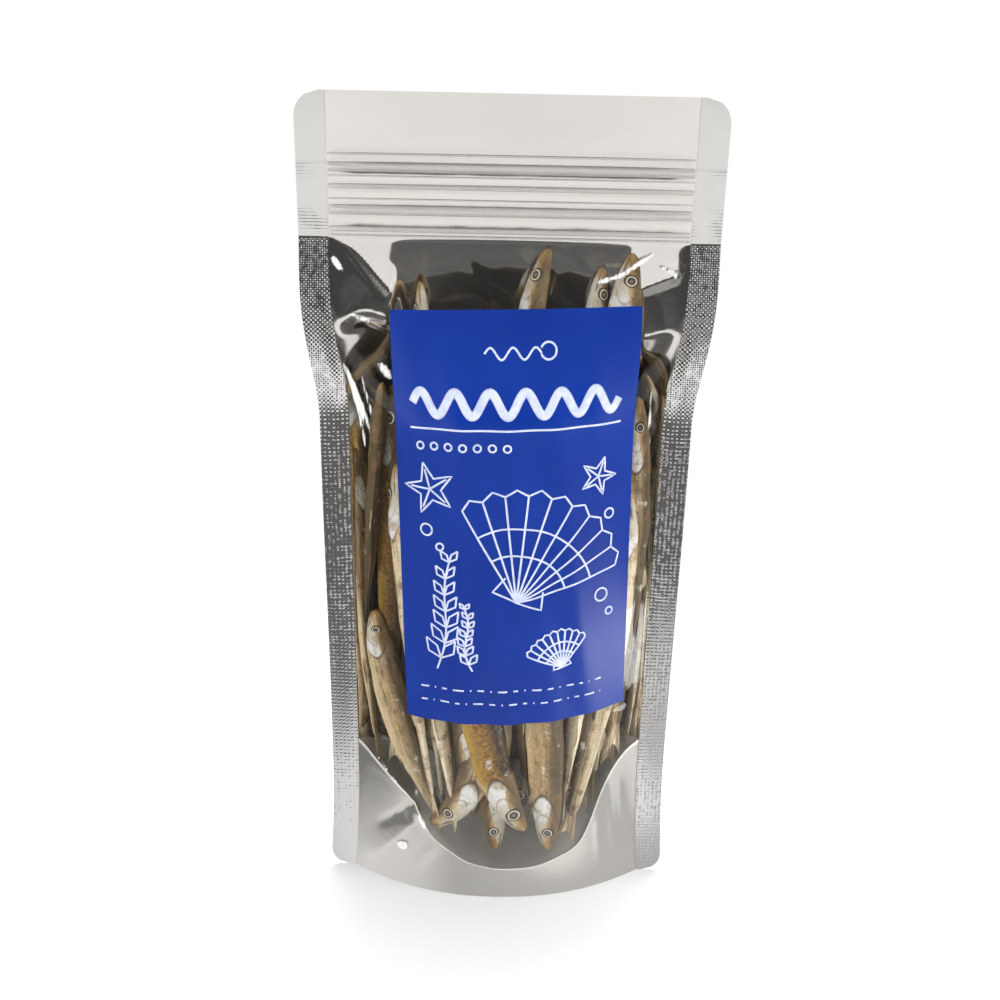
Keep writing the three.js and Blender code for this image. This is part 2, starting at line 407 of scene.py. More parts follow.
def back_relief(along, z):
    """How far the foil stands out from its plain filled shape."""
    waves = 0.25 * MM * np.sin(along / (9 * MM) + 1.3 * np.sin(z / (17 * MM)))
    waves = waves * smooth(4 * MM, 20 * MM, HALF_WINDOW - np.abs(along))
    waves = waves * (1 - smooth(190 * MM, 210 * MM, z))
    return waves + creases(along, z, BACK_CREASES)


def tighten(along, z, y):
    """Pulls the foil straight from the zip's foot down to where the filling pushes it out."""
    heights = np.linspace(120, 209.5, 180) * MM
    filled_rows = 130
    least_drop = 0.055
    columns = np.linspace(0, HALF_WINDOW, 60)
    drops, crossings, tops = [], [], []
    for column in columns:
        _, top_y = film_place(np.array([column]), np.array([ZIP_FOOT]), 1)
        _, profile = film_place(np.full(len(heights), column), heights, 1)
        drop = max(least_drop, ((profile - top_y) / (ZIP_FOOT - heights))[:filled_rows].max())
        highest = (profile + drop * heights)[:filled_rows].argmax()
        drops.append(drop)
        crossings.append(profile[highest] + drop * heights[highest])
        tops.append(heights[highest])
    away = np.abs(along)
    on_left = along < 0
    straight = np.interp(away, columns, crossings) - np.interp(away, columns, drops) * z
    touch = np.interp(away, columns, tops)
    beside = set_back(z) + SEAL_THICKNESS / 2 + 0.1 * np.maximum(0, HALF_WINDOW - away)
    _, top_y = film_place(along, np.full(len(along), ZIP_FOOT), 1)
    shelf = np.minimum(beside, top_y)
    pulled = np.maximum(straight, shelf)
    pulled = np.where((z < ZIP_FOOT) & (z > touch), pulled, y)
    # Beside the seals the foil leans back with them, down to a crease where the filling starts.
    fold_edge = np.where(on_left, 33, 37.5) * MM
    leaning = smooth(fold_edge - 3 * MM, fold_edge + 2.4 * MM, away)
    crease_z = np.where(on_left, 186.5, 180) * MM
    crease_z = crease_z + 1.1 * MM * np.sin(away / (2.6 * MM) + 2 * np.sign(along))
    half_crease = np.where(on_left, 2.9, 5) * MM
    fallen = np.clip((crease_z + half_crease - z) / (2 * half_crease), 0, 1)
    fallen = np.where(on_left, fallen * fallen * (3 - 2 * fallen), fallen * (2 - fallen))
    outer = shelf + fallen * (y - shelf)
    pulled = np.where(z < ZIP_FOOT, pulled + leaning * (outer - pulled), pulled)
    # At both top corners a patch of foil hangs nearly upright from the zip, cut off at a slant.
    beyond, high = away / MM, z / MM
    blur = 0.8
    left_corner = smooth(-blur, blur, 46.5 - (209 - high) * 0.8 - beyond)
    right_corner = smooth(-blur, blur, high - 195.5 - 0.4 * (beyond - 36))
    right_corner = right_corner * smooth(49.5, 48, beyond)
    corner = np.where(on_left, left_corner, right_corner)
    corner = corner * smooth(34, 35.4, beyond) * (z < ZIP_FOOT)
    hanging_y = top_y - 0.03 * (ZIP_FOOT - z)
    return pulled + corner * (hanging_y - pulled)


back_foil, along, z = flat_panel("back_foil", 2 * HALF_WINDOW + 2 * MM, POUCH_HEIGHT, 116, 276)
x, y = film_place(along, z, 1, 0, 0.2)
move_points(back_foil, x, tighten(along, z, y) + back_relief(along, z), z)
face_outwards(back_foil)
give_thickness(back_foil, FILM_THICKNESS)


def object_place():
    """The piece's own coordinates, in metres."""
    return add_node("ShaderNodeTexCoord").outputs["Object"]


def noise(where, scale, detail=2, **values):
    """Noise over the given coordinates."""
    return add_node("ShaderNodeTexNoise", Vector=where, Scale=scale, Detail=detail, **values).outputs[0]


def bump(height, strength, distance, **under):
    """Relief from a height. Normal= lays it over another relief."""
    return add_node(
        "ShaderNodeBump", Height=height, Strength=strength, Distance=distance, **under
    ).outputs[0]


def mix_colour(share, low, high):
    """Mixes two colours, each a value or a node's output."""
    node = add_node("ShaderNodeMix", data_type="RGBA")
    links.new(share, node.inputs[0])
    for socket, value in ((node.inputs[6], low), (node.inputs[7], high)):
        if isinstance(value, tuple):
            socket.default_value = (*value, 1)
        else:
            links.new(value, socket)
    return node.outputs[2]


def principled(**values):
    return add_node("ShaderNodeBsdfPrincipled", **values).outputs[0]


def dress(piece, material, surface):
    """Ends a material with its shader, and gives it to a piece."""
    add_node("ShaderNodeOutputMaterial", Surface=surface)
    piece.data.materials.append(material)


foil, nodes, links = new_material("silver_foil")
place = object_place()
waviness = noise(place, 60, Roughness=0.4)
grain = noise(place, 900, 3, Roughness=0.6)
metal = principled(
    Metallic=1,
    Base_Color=mix_colour(waviness, (0.86, 0.85, 0.83), (0.93, 0.92, 0.9)),
    Roughness=spread(waviness, 0, 1, 0.05, 0.12),
    Normal=bump(grain, 0.02, 0.1 * MM, Normal=bump(waviness, 0.25, 0.6 * MM)),
)
dress(back_foil, foil, metal)
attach(back_foil, "root")
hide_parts("pouch")

# The side seals: film and foil welded together under a knurled bar, which leaves rows of small
# pyramids. The outer corners are rounded, and a tear notch crosses each seal beside the zip.
WELDED_THICKNESS = 0.55 * MM
CORNER_RADIUS = 7 * MM
KNURL_WIDTH = 1.3 * MM
KNURL_RISE = 1.25 * MM
KNURL_HEIGHT = 0.012 * MM
RIB_PITCH = 0.9 * MM
NOTCH_HEIGHT = 231.1 * MM
NOTCH_HALF = 0.22 * MM
NOTCH_DEPTH = 4
SWAY = 0.5 * MM
CURL = 1.2 * MM


def outer_edge(z):
    """The seal's outer edge across the flat pouch, with its rounded corners."""
    in_corner = np.maximum(0, CORNER_RADIUS - np.minimum(z, POUCH_HEIGHT - z))
    return POUCH_WIDTH / 2 - (CORNER_RADIUS - np.sqrt(CORNER_RADIUS**2 - in_corner**2))


def side_seal(hand):
    """One welded side. hand is -1 on the left and 1 on the right."""
    piece, across, z = flat_panel("side_seal", SEAL_WIDTH, POUCH_HEIGHT, 10, 200)
    across = across / SEAL_WIDTH + 0.5
    along = HALF_WINDOW + across * (outer_edge(z) - HALF_WINDOW)
    x = half_chord_at(z) + along - HALF_WINDOW
    sway = SWAY * np.sin(z / (21 * MM) - 1.2 + 0.2 * hand) * smooth(0, 1, across)
    sway = sway * smooth(12 * MM, 60 * MM, z) * (1 - smooth(170 * MM, 205 * MM, z))
    # Beside the shoulder the outer half of the seal curls forwards.
    curl = CURL * smooth(0, 0.5, across) * (1 - smooth(176 * MM, 212 * MM, z))
    move_points(piece, hand * x, set_back(z) + sway - curl * smooth(70 * MM, 158 * MM, z), z)
    return piece


def join(name, pieces):
    bpy.ops.object.select_all(action="DESELECT")
    for piece in pieces:
        piece.select_set(True)
    bpy.context.view_layer.objects.active = pieces[0]
    bpy.ops.object.join()
    pieces[0].name = name
    return pieces[0]


side_seals = join("side_seals", [side_seal(-1), side_seal(1)])
face_outwards(side_seals)
give_thickness(side_seals, WELDED_THICKNESS)


def times(first, second):
    return maths("MULTIPLY", first, second)


def plus(first, second):
    return maths("ADD", first, second)


def minus(first, second, **settings):
    return maths("SUBTRACT", first, second, **settings)


# The bar's rows cross at a slant, and press in a soft lattice of diamonds, deeper here and there.
# Below the shoulder the rows show as dashes, and beside the zip there are ribs.
knurled, nodes, links = new_material("knurled_foil")
place = object_place()
axes = add_node("ShaderNodeSeparateXYZ", Vector=place)
across, up = axes.outputs["X"], axes.outputs["Z"]
drift = noise(place, 160)
uneven = noise(place, 650, 1)
slip = times(minus(drift, 0.5), 4)
deep_above = spread(up, 176 * MM, 183 * MM, 0.6, 1.35)
deep_below = spread(up, 150 * MM, 160 * MM, 1.35, 0.6)
strike = times(spread(uneven, 0.3, 0.7, 0.5, 1.5), maths("MAXIMUM", deep_above, deep_below))
strike = times(strike, spread(across, -30 * MM, 30 * MM, 1, 1.3))
across_turns = plus(times(across, math.tau / KNURL_WIDTH), slip)
up_turns = times(up, math.tau / KNURL_RISE)
one_way = maths("COSINE", plus(across_turns, up_turns))
other_way = maths("COSINE", minus(across_turns, up_turns))
rows = maths("COSINE", plus(up_turns, times(slip, 0.4)))
dashes = times(rows, spread(uneven, 0.35, 0.65, 0.2, 1.6))
in_rows = spread(up, 172 * MM, 156 * MM)
diamonds = times(plus(one_way, other_way), spread(in_rows, 0, 1, 1, 0.5))
diamonds = plus(diamonds, times(dashes, in_rows))
below_zip = maths("LESS_THAN", up, ZIP_FOOT)
beside_zip = minus(maths("LESS_THAN", up, NOTCH_HEIGHT), below_zip)
ribs = maths("COSINE", times(up, math.tau / RIB_PITCH))
soft_ribs = times(ribs, spread(drift, 0.35, 0.65, 0.15, 0.6))
notch = maths("COMPARE", up, NOTCH_HEIGHT, NOTCH_HALF)
pattern = times(times(diamonds, below_zip), strike)
pattern = plus(pattern, times(beside_zip, soft_ribs))
pattern = minus(pattern, times(notch, NOTCH_DEPTH))
metal = principled(
    Metallic=1,
    Base_Color=mix_colour(below_zip, (0.775, 0.765, 0.74), (0.89, 0.88, 0.86)),
    Roughness=spread(noise(place, 140, 3), 0, 1, 0.07, 0.14),
    Normal=bump(pattern, 1, KNURL_HEIGHT),
)
dress(side_seals, knurled, metal)
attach(side_seals, "root")
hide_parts("pouch")

# The base fold: a third panel of foil, folded up between the other two and welded to them below
# a curve that runs from side to side. When the pouch fills, the fold opens and hangs between.
WELD_CURVE = (
    (-51.5, 50), (-48, 49.3), (-45, 47), (-36, 42), (-28.5, 36.2), (-25.6, 33), (-24.8, 29),
    (-21.2, 23), (-10.3, 15.4), (0, 13), (12.6, 13.4), (17.8, 14.9), (26, 18.3), (30.5, 24),
    (33, 32), (35.5, 40), (40.5, 47), (46, 51), (51.5, 52),
)
SPOT_WELD = (-32 * MM, 17.8 * MM)
FRONT_CREASES = (
    (-48, 210, -34, 193, 1.8, 0.8),
    (-34.5, 210, -34, 194, 1.6, -0.6),
    (-46, 190, -40, 188, 1.3, 0.5),
    (-39, 179, -33, 173, 1.4, 0.6),
    (-52, 176, -43, 156, 1.8, 1.0),
    (-52, 166, -43, 155, 1.3, -0.7),
    (-47, 176, -42, 157, 1.2, 0.8),
    (24.5, 200, 33, 203, 1.0, 0.7),
    (33, 203, 41, 209, 1.0, 0.7),
    (13, 210, 24.5, 200, 2.0, -0.7),
    (41, 197, 51, 205, 1.6, 0.9),
    (43, 203, 51, 206, 1.0, -0.6),
    (-48, 150, -49, 96, 1.4, 0.55),
    (-45, 140, -46, 84, 1.6, -0.5),
    (48, 164, 50, 122, 1.5, 0.7),
    (45, 150, 47, 110, 1.4, -0.5),
    (49, 112, 49, 66, 1.4, 0.4),
    (-49, 60, -27.5, 37, 1.2, 0.5),
    (-25, 37, -42, 21, 2.0, -1.6),
    (-27, 29, -46, 6, 8.0, 2.6),
    (-20, 20, -30, 6, 4.0, -1.0),
    (-30, 40, -46, 44, 1.5, 0.4),
    (38, 44, 42, 12, 2.2, 0.7),
    (43, 40, 47, 14, 2.0, -0.6),
    (34, 30, 36, 8, 2.4, 0.6),
)
LABEL_WIDTH = 72 * MM
LABEL_HEIGHT = 124 * MM
LABEL_MIDDLE = 131 * MM
LABEL_OFFSET = 4.2 * MM
LABEL_TURN = math.radians(1.8)
LABEL_HOLD = 3 * MM
FOLD_COLUMNS = 116
FOLD_ROWS = 72
FOLD_GAP = 0.3 * MM
FOLD_INSET = 0.2 * MM
FOLD_SAG = 9 * MM
FOLD_RIPPLE = 0.35 * MM
SEAL_FADE = 3 * MM
# The share of the rows that climbs the front film to the weld. As many come down the back, and
# the rest hangs across.
WALL_SHARE = 0.36
weld_along, weld_height = np.array(WELD_CURVE).T * MM


def weld_at(along):
    """Height of the weld, with its corners rounded off."""
    steps = (-2.4, -1.2, 0, 1.2, 2.4)
    return sum(np.interp(along + step * MM, weld_along, weld_height) for step in steps) / len(steps)


def weld_slope(along):
    """How steep the weld runs."""
    return (weld_at(along + 0.5 * MM) - weld_at(along - 0.5 * MM)) / MM


def under_label(along, z):
    """1 under the label, which holds the film smooth, and 0 away from it."""
    off = (along - LABEL_OFFSET) * math.cos(LABEL_TURN) + (z - LABEL_MIDDLE) * math.sin(LABEL_TURN)
    beside = smooth(LABEL_WIDTH / 2 + LABEL_HOLD, LABEL_WIDTH / 2, np.abs(off))
    return beside * smooth(LABEL_HEIGHT / 2 + LABEL_HOLD, LABEL_HEIGHT / 2, np.abs(z - LABEL_MIDDLE))


def front_waves(along, z):
    """Shallow buckling of the film, in the free part only."""
    across, up = along / MM, z / MM
    wave = 0.22 * np.sin(across / 5.3 + 1.9 * np.sin(up / 23))
    wave = wave + 0.16 * np.sin(up / 8.1 + 1.7 * np.sin(across / 13) + 0.8)
    wave = wave + 0.1 * np.sin(across / 2.9 - up / 7.7)
    free = smooth(0, 9, HALF_WINDOW / MM - np.abs(across))
    free = free * smooth(2, 20, up) * (1 - smooth(196, 210, up)) * (1 - under_label(along, z))
    return wave * MM * free


def off_seals(along):
    """0 at the side seals, and 1 a few millimetres away from them."""
    return smooth(0, SEAL_FADE, HALF_WINDOW - np.abs(along))


def front_relief(along, z):
    """How far the front film stands out from its plain filled shape."""
    free = off_seals(along) * (1 - under_label(along, z))
    return front_waves(along, z) + free * creases(along, z, FRONT_CREASES)


def mark(piece, name, values):
    """Stores four values at each point, for the material to read."""
    marks = piece.data.color_attributes.new(name, "FLOAT_COLOR", "POINT")
    marks.data.foreach_set("color", np.ravel(values))


fold_width = 2 * HALF_WINDOW - 2 * FOLD_GAP
base_fold, along, run = flat_panel("base_fold", fold_width, 1, FOLD_COLUMNS, FOLD_ROWS)
in_front = run < 0.5
weld = weld_at(along)
climb = np.clip(np.where(in_front, run, 1 - run) / WALL_SHARE, 0, 1)
wall_z = weld * climb
front_x, front_wall = film_place(along, wall_z, -1, -FOLD_INSET)
front_wall = front_wall - front_relief(along, wall_z)
back_x, back_wall = film_place(along, wall_z, 1, -FOLD_INSET)
back_wall = back_wall + back_relief(along, wall_z)
hanging = (run > WALL_SHARE) & (run < 1 - WALL_SHARE)
hang_part = np.clip((run - WALL_SHARE) / (1 - 2 * WALL_SHARE), 0, 1)
sag = FOLD_SAG * (1 - np.abs(along / HALF_WINDOW) ** 2)
sag = np.minimum(sag, weld - 2 * MM)
hang_z = weld - sag * np.sin(np.pi * hang_part) ** 0.8
hang_y = front_wall + (back_wall - front_wall) * hang_part
x = np.where(in_front, front_x, back_x)
y = np.where(hanging, hang_y, np.where(in_front, front_wall, back_wall))
z = np.where(hanging, hang_z, wall_z)
folds = FOLD_RIPPLE * np.sin(along / (2.6 * MM) + 3 * np.sin(along / (11 * MM)))
z = z + np.where(hanging, folds * np.sin(np.pi * hang_part), 0)
move_points(base_fold, x, y, z)
mark(base_fold, "hang", np.repeat(hanging.astype(float), 4))
face_outwards(base_fold)
give_thickness(base_fold, FILM_THICKNESS)


def stretched(where, scale):
    return add_node("ShaderNodeMapping", Vector=where, Scale=scale).outputs[0]


fold_foil, nodes, links = new_material("welded_foil")
place = object_place()
clouds = noise(place, 70, 3, Roughness=0.5)
flat_ribs = noise(stretched(place, (1, 1, 14)), 120)
hung = add_node("ShaderNodeAttribute", attribute_name="hang").outputs["Fac"]
metal = principled(
    Metallic=spread(hung, 0, 1, 0.9, 0.15),
    Base_Color=(0.86, 0.85, 0.82, 1),
    Roughness=spread(clouds, 0, 1, 0.08, 0.16),
    Normal=bump(flat_ribs, 0.26, 0.2 * MM, Normal=bump(clouds, 0.4, 0.7 * MM)),
)
dress(base_fold, fold_foil, metal)
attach(base_fold, "root")
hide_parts("pouch")

# The edge of that weld: a fine bead of melted film, painted whitish all round the curve as a highlight.
BEAD_THICKNESS = 0.19 * MM
BEAD_FLATNESS = 0.6
BEAD_OUT = 0.05 * MM
BEAD_SHORT = 0.4 * MM


def ball(name, segments, rings):
    """A ball, with its points and how far each is along the way from pole to pole."""
    bpy.ops.object.select_all(action="DESELECT")
    bpy.ops.mesh.primitive_uv_sphere_add(segments=segments, ring_count=rings, radius=1)
    piece = bpy.context.object
    piece.name = name
    points = points_of(piece)
    return piece, points, np.arccos(np.clip(points[:, 2], -1, 1)) / np.pi


def round_section(points):
    """The two directions round a ball's rings, each as 1 at most."""
    girth = np.hypot(points[:, 0], points[:, 1]) + 1e-9
    return points[:, 0] / girth, points[:, 1] / girth


weld_bead, points, from_pole = ball("weld_bead", 8, 320)
# It tapers off over its last few millimetres.
full = np.minimum(1, 12 * np.sqrt(np.clip(from_pole * (1 - from_pole), 0, 1)))
along = (from_pole * 2 - 1) * (HALF_WINDOW - BEAD_SHORT)
z = weld_at(along)
x, y = film_place(along, z, -1, BEAD_OUT)
y = y - front_relief(along, z)
slope = weld_slope(along)
lean = 1 / np.sqrt(1 + slope**2)
thick = BEAD_THICKNESS * full
sideways, outwards = round_section(points)
across = sideways * thick
y = y + outwards * thick * BEAD_FLATNESS
move_points(weld_bead, x - across * slope * lean, y, z + across * lean)
face_outwards(weld_bead)
weld_bead.data.shade_smooth()

bead_look, nodes, links = new_material("melted_film")
place = object_place()
# Its whitish colour is a painted highlight along the weld.
melted = principled(
    Alpha=0.65,
    Base_Color=(0.85, 0.84, 0.81, 1),
    Roughness=spread(noise(place, 400), 0, 1, 0.1, 0.3),
)
dress(weld_bead, bead_look, melted)
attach(weld_bead, "root")
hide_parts("pouch")

# The dried smelt: whole fish, dried hard and flat-sided, with a silver gill cover, a ringed eye
# and a wrinkled tan body. One fish is modelled, and each copy is bent along its own spine.
FISH_LENGTH = 116 * MM
# Depth and width of the body, in mm, at shares of its length from the snout.
PROFILE_AT = (0, 0.015, 0.04, 0.08, 0.13, 0.19, 0.26, 0.36, 0.48, 0.6, 0.72, 0.82, 0.9, 0.96, 1)
PROFILE_DEPTH = (1.2, 3.6, 5.4, 7.4, 9.2, 10.4, 10.8, 11.6, 11, 9.6, 7.6, 5.8, 4.6, 4, 2.6)
PROFILE_WIDTH = (0.9, 2.4, 3.6, 4.8, 5.7, 6.2, 5.6, 5.0, 4.7, 4.2, 3.4, 2.5, 1.8, 1.3, 0.6)
GILL_EDGE = 0.202
GILL_CURVE = 0.09
EYE_AT = 0.081
EYE_RADIUS = 2.9 * MM
EYE_HEIGHT = 0.5 * MM
TAIL_LENGTH_MM = 13
FIN_THICKNESS = 0.22 * MM
SPINE_STEPS = 60
WALL_CLEARANCE = 0.25 * MM
SEAL_CLEARANCE = 0.8 * MM

master_body, points, from_pole = ball("smelt_body", 36, 72)
# The rings lie closer together at the head.
run = from_pole * (0.55 + 0.45 * from_pole)
angle = np.arctan2(points[:, 1], points[:, 0])
wide, tall = np.cos(angle), np.sin(angle)
depth = np.interp(run, PROFILE_AT, PROFILE_DEPTH) * MM / 2
width = np.interp(run, PROFILE_AT, PROFILE_WIDTH) * MM / 2


def bulge(run_off, half_run, tall_off, half_tall):
    """A soft bump on the flanks, 1 at its middle."""
    return np.exp(-((run_off / half_run) ** 2) - (tall_off / half_tall) ** 2)


gill_off = np.hypot((run - 0.16) / 0.046, (tall + 0.12) / 0.62)
plate = 1 - smooth(0.75, 1.05, gill_off)
gill_back = GILL_EDGE + 0.012 - GILL_CURVE * (tall + 0.15) ** 2
groove = np.exp(-(((run - gill_back) / 0.008) ** 2)) * (1 - smooth(0.5, 0.95, np.abs(tall)))
socket = bulge(run - EYE_AT, 0.024, tall - 0.12, 0.35)
cheek = bulge(run - 0.115, 0.015, tall + 0.35, 0.3)
mouth = np.exp(-(((tall + 0.5 + run * 3) / 0.1) ** 2)) * (1 - smooth(0.055, 0.08, run))
behind_head = smooth(GILL_EDGE, GILL_EDGE + 0.05, run)
wrinkle = 0.075 * np.sin(6 * angle + 11 * run) + 0.05 * np.sin(11 * angle - 17 * run + 1)
belly_hollow = 0.2 * bulge(run - 0.42, 0.15, tall + 0.5, 0.28)
flank_line = 0.08 * np.exp(-(((tall - 0.15) / 0.12) ** 2)) * behind_head
scale = 1 + 0.1 * plate + 0.07 * cheek - 0.12 * groove - 0.12 * socket - 0.16 * mouth
scale = scale + behind_head * wrinkle - belly_hollow - flank_line
flat_side = np.sign(wide) * np.abs(wide) ** 0.85
body_height = tall * depth * (0.4 + 0.6 * scale)
move_points(master_body, run * FISH_LENGTH, flat_side * width * scale, body_height)
# The skin's marks: a chance of its own for each fish, the height on the flank, its tone, the run.
skin_marks = np.column_stack([np.zeros(len(run)), tall * 0.5 + 0.5, np.zeros(len(run)), run])
mark(master_body, "skin", skin_marks)

# Eyes: a flattened ball on each flank. The tail and the other fins are thin plates.
master_eye, points, _ = ball("smelt_eye", 20, 12)
radial = np.hypot(points[:, 0], points[:, 1])
eye_out = np.interp(EYE_AT, PROFILE_AT, PROFILE_WIDTH) * MM / 2 * 0.9
eye_bulge = points[:, 2] * (0.75 - 0.25 * (radial < 0.45)) * MM
eye_points = np.column_stack([points[:, 0] * EYE_RADIUS, eye_bulge, points[:, 1] * EYE_RADIUS])
mark(master_eye, "ring", np.column_stack([radial, radial, radial, np.ones(len(radial))]))

master_fin, fin_up, fin_run = flat_panel("smelt_fin", 1, 1, 14, 8)
fin_up = fin_up * 2


def tail_points():
    """A forked, ribbed tail."""
    half_height = 1.4 + 1.9 * fin_run
    reach = TAIL_LENGTH_MM - 4.5 * (1 - np.abs(fin_up) ** 1.5)
    place_along = FISH_LENGTH / MM - 2.5 + fin_run * reach
    ribs = 0.15 * np.sin(fin_up * 20) + 0.5 * fin_run * np.sin(3 * fin_up)
    return np.column_stack([place_along * MM, ribs * MM, fin_up * half_height * MM])


def small_fin_points(start, length, height, edge):
    """A folded fin along the back (edge 1) or the belly (edge -1)."""
    run = start + fin_run * length / (FISH_LENGTH / MM)
    root = np.interp(run, PROFILE_AT, PROFILE_DEPTH) / 2 - 0.8
    rise = (fin_up * 0.5 + 0.5) * height * np.sin(np.pi * np.clip(fin_run + 0.12, 0, 1)) ** 0.6
    lean = 0.35 * (fin_up * 0.5 + 0.5) * length
    return np.column_stack(
        [run * FISH_LENGTH + lean * MM, 0.1 * MM * np.sin(9 * fin_run), edge * (root + rise) * MM]
    )


FIN_SHAPES = (
    tail_points(),
    small_fin_points(0.47, 9, 1.8, 1),
    small_fin_points(0.68, 11, 1.4, -1),
)


def front_y(x, z):
    """The film in front of a place in the pouch."""
    share = np.clip(np.abs(x) / half_chord_at(z), 0, 1)
    rise = depth_at(z) * (1 - share**SECTION_POWER)
    return set_back(z) - SEAL_THICKNESS / 2 - rise


def back_y(x, z):
    """The foil behind, as far back as the film is in front."""
    return 2 * set_back(z) - front_y(x, z)


def keep_inside(points):
    """Moves points that would pierce the film or the foil to just inside it."""
    x, y, z = points.T
    room = half_chord_at(z) - SEAL_CLEARANCE
    x = np.clip(x, -room, room)
    y = np.clip(y, front_y(x, z) + WALL_CLEARANCE, back_y(x, z) - WALL_CLEARANCE)
    return x, y, z


def bend(local, spine, roll, size):
    """Points of a straight fish laid along a spine of three places (x, z, inset), in mm."""
    knots = np.array(spine, float) * MM
    steps = np.linspace(0, 1, SPINE_STEPS)[:, None]
    curve = (1 - steps) ** 2 * knots[0] + 2 * steps * (1 - steps) * knots[1] + steps**2 * knots[2]
    spine_x, spine_z, inset = curve[:, 0], curve[:, 1], curve[:, 2]
    spine_y = front_y(spine_x, spine_z) + inset
    # A fish's flank turns with the film that it lies behind, less so deeper in the pouch.
    nudge = 0.4 * MM
    side_fade = 0.45
    slope_x = (front_y(spine_x + nudge, spine_z) - front_y(spine_x - nudge, spine_z)) / (2 * nudge)
    slope_z = (front_y(spine_x, spine_z + nudge) - front_y(spine_x, spine_z - nudge)) / (2 * nudge)
    depth_fade = np.clip(1 - inset / (14 * MM), 0.15, 1)
    path = np.column_stack([spine_x, spine_y, spine_z])
    forward = np.gradient(path, axis=0)
    forward /= np.linalg.norm(forward, axis=1)[:, None]
    flank = [side_fade * slope_x * depth_fade, -np.ones(SPINE_STEPS), slope_z * depth_fade]
    outward = np.column_stack(flank)
    outward -= forward * (outward * forward).sum(1)[:, None]
    outward /= np.linalg.norm(outward, axis=1)[:, None]
    upward = np.cross(forward, outward)
    lengths = np.concatenate([[0], np.cumsum(np.linalg.norm(np.diff(path, axis=0), axis=1))])
    run = local[:, 0] * (lengths[-1] / FISH_LENGTH)
    held = np.clip(run, 0, lengths[-1])

    def at(values):
        return np.column_stack([np.interp(held, lengths, values[:, i]) for i in range(3)])

    turn = math.radians(roll)
    wide = local[:, 1] * size
    tall = local[:, 2] * size
    out = wide * math.cos(turn) - tall * math.sin(turn)
    up = wide * math.sin(turn) + tall * math.cos(turn)
    place = at(path) + at(forward) * (run - held)[:, None]
    return keep_inside(place + at(outward) * out[:, None] + at(upward) * up[:, None])


# Each fish: its spine from snout to tail as (x, z, distance behind the film), its roll, its tone
# and its girth. Roll 0 has its back to the right when its head is down, and 180 to the left.
# A tone above 1 is painted shade: it darkens the fish towards black, for fish in the gaps and deep in
# the pouch.
FISH = (
    # At the bottom of the front: heads down, silver gill covers against the film.
    (((9, 26.5, 3.6), (-8, 50, 3.4), (-14, 135, 6)), 6, 1.0, 1.07),
    (((16.8, 17.2, 3.8), (14.5, 60, 3.4), (10, 130, 6)), -14, 0.62, 0.99),
    (((-22, 26.5, 3.4), (8, 42, 9), (-12, 128, 16)), 168, 0.3, 1.06),
    (((-10, 38.5, 8.5), (-10, 72, 10), (-16, 150, 10)), 176, 0.55, 0.95),
    (((-0.3, 14.5, 8), (-4, 60, 10), (3, 132, 12)), 188, 0.45, 0.95),
    (((3, 134, 5), (4, 90, 7), (8.5, 42, 9)), 70, 1.45, 0.75),
    # Left: one with its head up, and long bodies beside the label.
    (((-39.4, 98, 4), (-36, 64, 3.8), (-19, 29, 6)), 186, 0.45, 0.95),
    (((-36, 171, 5.6), (-39, 130, 3.8), (-43.5, 90, 5)), 262, 0.85, 0.85),
    (((-31.5, 148, 3.6), (-30, 90, 3.6), (-21, 36, 4.4)), 60, 0.15, 1.0),
    (((-24, 148, 6), (-23, 90, 5), (-14, 36, 5.2)), 110, 0.1, 1.0),
    (((-33, 170, 9), (-35, 110, 8), (-34, 52, 7)), 200, 1.35, 0.85),
    # Right: tails down beside the weld curve, and bodies up the side.
    (((36.5, 140, 4), (36, 85, 4), (24, 29, 4.4)), 30, 0.2, 1.0),
    (((38.5, 168, 5), (41, 115, 4), (37.5, 58, 4)), 190, 0.3, 0.8),
    (((30, 140, 7), (31, 90, 6), (28, 38, 6.4)), 240, 0.1, 0.95),
    (((24, 128, 4), (25.5, 80, 4.2), (21, 38, 5)), 75, 0.1, 0.95),
    (((34, 172, 10), (37, 110, 8), (36, 52, 7)), 10, 0.4, 0.85),
    # Top: heads up above the label, and two bodies at the far sides.
    (((11.5, 209, 3.4), (3, 188, 6.5), (-5, 102, 14)), 222, 0.9, 0.9),
    (((35.5, 208, 3), (32, 186, 5.5), (26, 105, 9)), 178, 0.8, 1.0),
    (((27, 204, 5.5), (24, 180, 8), (14, 100, 13)), 150, 0.9, 0.8),
    (((-25.5, 199, 5), (-24, 180, 8), (-20, 100, 14)), 60, 0.5, 0.75),
    (((-45, 150, 6), (-46, 100, 6), (-40, 50, 6)), 95, 0.5, 0.85),
    (((45, 146, 7), (46, 100, 6), (42, 52, 6)), 85, 0.3, 0.85),
    # Behind the front row.
    (((-8, 24, 14), (-8, 70, 14), (-10, 138, 14)), 20, 0.4, 1.0),
    (((7, 24, 17), (8, 70, 16), (12, 138, 14)), -15, 1.4, 1.1),
    (((22, 26, 13), (22, 70, 13), (24, 138, 12)), 12, 0.35, 0.95),
    (((-22, 27, 13), (-22, 80, 13), (-25, 140, 12)), 160, 0.3, 0.95),
    (((-2, 140, 20), (-1, 80, 20), (0, 24, 20)), 25, 0.6, 1.0),
    (((15, 145, 21), (14, 80, 21), (14, 28, 21)), 0, 0.3, 1.0),
    (((-15, 148, 21), (-15, 80, 21), (-15, 28, 20)), 180, 0.45, 1.0),
    (((0, 26, 28), (1, 80, 28), (0, 140, 27)), 8, 0.5, 1.0),
    (((-22, 142, 10), (-23, 88, 9), (-17.5, 34, 8)), 95, 0.12, 0.95),
    (((34, 142, 9), (35.5, 92, 8), (31, 41, 7)), 80, 0.12, 0.9),
)


def copy_of(master):
    piece = master.copy()
    piece.data = master.data.copy()
    scene.collection.objects.link(piece)
    return piece


